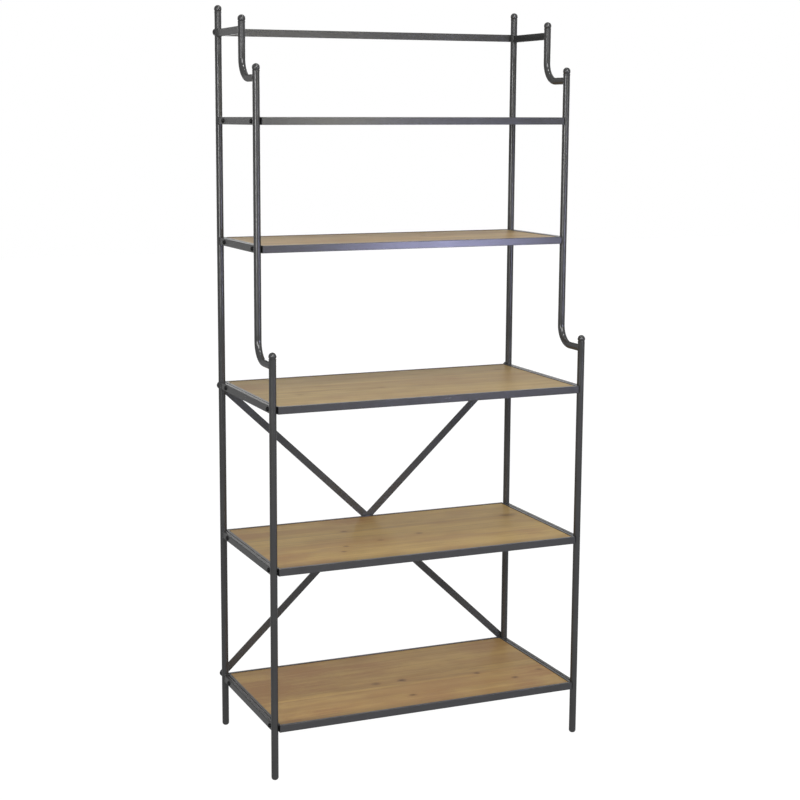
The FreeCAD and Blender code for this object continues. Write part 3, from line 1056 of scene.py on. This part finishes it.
class SHELVING_OT_fasteners(bpy.types.Operator):
    """Finish the bolts, washers, bushes, inserts, spacers and screws"""

    bl_idname = "shelving.fasteners"
    bl_label = "Fasteners"

    def execute(self, context):
        black = fastener_metal("black_oxide", *BLACK_OXIDE)
        zinc = fastener_metal("dull_zinc", *DULL_ZINC)
        give_finish(black, "tray_bolts", "tray_washers", "rear_bolts")
        give_finish(zinc, "tray_bushes", "board_screws", "brace_spacers", "post_inserts")
        return {"FINISHED"}


# Lights: place, the point that they face, width and height
LIGHTS = {
    "front_softbox": ((-0.8, -4.2, 3.2), (0.0, 0.0, 0.8), (3.0, 2.0)),
    "left_softbox": ((-2.2, -2.0, 1.33), (-0.2, 0.0, 1.33), (0.6, 0.9)),
    "window": ((1.39, -2.9, 0.97), (0.1, -0.1, 1.2), (0.58, 0.38)),
    "upper_window": ((0.92, -2.95, 1.56), (-0.2, -0.1, 1.53), (0.36, 0.25)),
    "top_softbox": ((0.3, -1.6, 3.9), (0.0, 0.0, 1.4), (0.5, 0.4)),
    "ceiling_light": ((0.35, -0.3, 3.9), (0.0, 0.0, 1.0), (0.2, 0.2)),
}


def area_light(name, power, colour=WHITE):
    """One of the studio's rectangular lights."""
    place, target, size = LIGHTS[name]
    light = bpy.data.lights.new(name, "AREA")
    light.shape = "RECTANGLE"
    light.size, light.size_y = size
    light.energy = power
    light.color = colour
    lamp = bpy.data.objects.new(name, light)
    lamp.location = place
    lamp.rotation_euler = (Vector(target) - Vector(place)).to_track_quat("-Z", "Y").to_euler()
    bpy.context.scene.collection.objects.link(lamp)


# Ramps of the walls: how squarely they stand behind the unit, and the bands of the wall there by
# height, where 0.5 is level and 1 is straight up
BEHIND_STOPS = ((0.80, 0.0), (0.93, 1.0))
LOW_BAND_STOPS = ((0.43, 0.0), (0.50, 1.0), (0.555, 1.0), (0.607, 0.0))
HIGH_BAND_STOPS = ((0.58, 0.0), (0.62, 1.0), (0.70, 1.0), (0.80, 0.0))


def light_walls(studio):
    """Walls that look white. Behind the unit, their foot sheds more light and their upper part
    less than the rest."""
    world = bpy.data.worlds.new("studio")
    world.use_nodes = True
    walls = Finish(world)
    away = (math.sin(studio.camera_yaw), math.cos(studio.camera_yaw), 0.0)
    way = walls.node("ShaderNodeTexCoord", output="Generated")
    height = walls.parts(way)[2] * 0.5 + 0.5
    facing = walls.vector("DOT_PRODUCT", way, away, output="Value")
    low = walls.ramp(height, LOW_BAND_STOPS) * studio.low_back_light
    high = walls.ramp(height, HIGH_BAND_STOPS) * studio.high_back_light
    strength = walls.ramp(facing, BEHIND_STOPS) * (low + high) + studio.wall_light
    white = opaque(WHITE)
    felt = walls.node("ShaderNodeBackground", values={"Color": white, "Strength": strength})
    seen = walls.node("ShaderNodeBackground", values={"Color": white, "Strength": 1.0})
    ray = walls.node("ShaderNodeLightPath", output="Is Camera Ray")
    shader = walls.node("ShaderNodeMixShader", values={0: ray, 1: felt, 2: seen})
    walls.end(shader, "ShaderNodeOutputWorld")
    bpy.context.scene.world = world


# Side of the square photograph in pixels, and width of the camera's sensor in mm, like its lens
PHOTO_SIDE = 800
SENSOR_WIDTH = 36.0


def make_camera(studio):
    """The camera of the photograph."""
    camera = bpy.data.cameras.new("camera")
    camera.sensor_width = SENSOR_WIDTH
    camera.lens = studio.lens_px / PHOTO_SIDE * SENSOR_WIDTH
    camera.shift_x = (PHOTO_SIDE / 2 - studio.centre_px[0]) / PHOTO_SIDE
    camera.shift_y = (studio.centre_px[1] - PHOTO_SIDE / 2) / PHOTO_SIDE
    body = bpy.data.objects.new("camera", camera)
    turn = Matrix.Rotation(-studio.camera_yaw, 4, "Z")
    tilt = Matrix.Rotation(math.pi / 2 - studio.camera_pitch, 4, "X")
    lean = Matrix.Rotation(studio.camera_roll, 4, "Z")
    body.matrix_world = Matrix.Translation(studio.camera_place) @ turn @ tilt @ lean
    bpy.context.scene.collection.objects.link(body)
    bpy.context.scene.camera = body


FLOOR = SimpleNamespace(
    reach=14.0, cloud_scale=1.2, cloud_cover=0.3, cloud_share=0.97, roughness=0.9
)


def make_floor(studio):
    """A pale studio floor."""
    finish = Finish.of_material("studio_floor")
    cloud = finish.noise(finish.place, FLOOR.cloud_scale, detail=3.0)
    colour = tuple(studio.floor_colour)
    material = finish.surface(
        Base_Color=finish.mix(cloud * FLOOR.cloud_cover, colour, toned(colour, FLOOR.cloud_share)),
        Roughness=FLOOR.roughness,
        Emission_Color=opaque(WHITE),
        Emission_Strength=studio.floor_light,
    )
    reach = FLOOR.reach
    mesh = bpy.data.meshes.new("studio_floor")
    corners = [(-reach, -reach, 0), (reach, -reach, 0), (reach, reach, 0), (-reach, reach, 0)]
    mesh.from_pydata(corners, [], [(0, 1, 2, 3)])
    mesh.materials.append(material)
    floor = bpy.data.objects.new("studio_floor", mesh)
    floor.visible_diffuse = False
    floor.visible_glossy = False
    bpy.context.scene.collection.objects.link(floor)


class SHELVING_OT_studio(bpy.types.Operator):
    """Set up the floor, the lights and the camera"""

    bl_idname = "shelving.studio"
    bl_label = "Studio"

    def execute(self, context):
        studio = settings().studio
        context.scene.view_settings.view_transform = "Standard"
        light_walls(studio)
        area_light("front_softbox", studio.front_power)
        area_light("left_softbox", studio.left_power)
        area_light("window", studio.window_power, studio.window_colour)
        area_light("upper_window", studio.upper_window_power, studio.upper_window_colour)
        area_light("top_softbox", studio.top_power)
        area_light("ceiling_light", studio.ceiling_power)
        make_floor(studio)
        make_camera(studio)
        return {"FINISHED"}


OPERATORS = (
    SHELVING_OT_side_frames,
    SHELVING_OT_weld_beads,
    SHELVING_OT_trays,
    SHELVING_OT_boards,
    SHELVING_OT_braces,
    SHELVING_OT_fasteners,
    SHELVING_OT_studio,
)


class SHELVING_PT_sidebar(bpy.types.Panel):
    """Lists the steps that dress the unit."""

    bl_label = "Shelving unit"
    bl_idname = "SHELVING_PT_sidebar"
    bl_space_type = "VIEW_3D"
    bl_region_type = "UI"
    bl_category = "Shelving"

    def draw(self, context):
        for operator in OPERATORS:
            self.layout.operator(operator.bl_idname)


CLASSES = (
    ShelvingMetalSettings,
    ShelvingWoodSettings,
    ShelvingWeldSettings,
    ShelvingStudioSettings,
    ShelvingSettings,
    *OPERATORS,
    SHELVING_PT_sidebar,
)


def register():
    for item in CLASSES:
        bpy.utils.register_class(item)
    bpy.types.Scene.shelving = bpy.props.PointerProperty(type=ShelvingSettings)


def unregister():
    del bpy.types.Scene.shelving
    for item in reversed(CLASSES):
        bpy.utils.unregister_class(item)


def main():
    register()
    bpy.ops.shelving.side_frames()
    bpy.ops.shelving.weld_beads()
    bpy.ops.shelving.trays()
    bpy.ops.shelving.boards()
    bpy.ops.shelving.braces()
    bpy.ops.shelving.fasteners()
    bpy.ops.shelving.studio()


if __name__ == "__main__":
    main()
